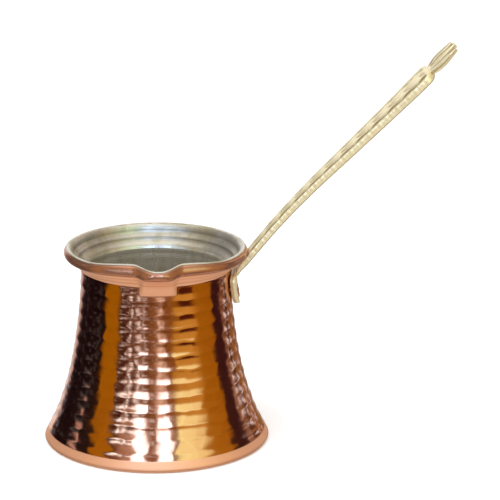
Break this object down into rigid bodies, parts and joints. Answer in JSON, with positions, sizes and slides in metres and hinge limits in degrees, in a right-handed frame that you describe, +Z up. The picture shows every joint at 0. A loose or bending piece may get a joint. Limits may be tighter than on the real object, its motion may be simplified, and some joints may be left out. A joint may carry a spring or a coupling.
{
  "type": "turkish coffee pot",
  "caption": "Small hand-hammered copper coffee pot with a tinned inside, flared rim with pouring spout, and a long cast brass handle riveted to the neck.",
  "frame": {"origin": "middle of the flat base, on the surface that the pot stands on", "axes": "+Z up along the pot's axis, handle rising towards +X, pouring spout towards -Y"},
  "size_m": [0.1726, 0.0948, 0.1682],
  "materials": {
    "copper": null,
    "tin": "wiped tin coat, satin",
    "handle_brass": "cast yellow brass, pale, with darkened hollows",
    "rivet_copper": null
  },
  "bodies": {
    "root": {"copper_body": "copper", "tin_lining": "tin", "brass_handle": "handle_brass", "rivet_upper_near": "rivet_copper", "rivet_upper_far": "rivet_copper", "rivet_lower": "rivet_copper"}
  },
  "joints": []
}
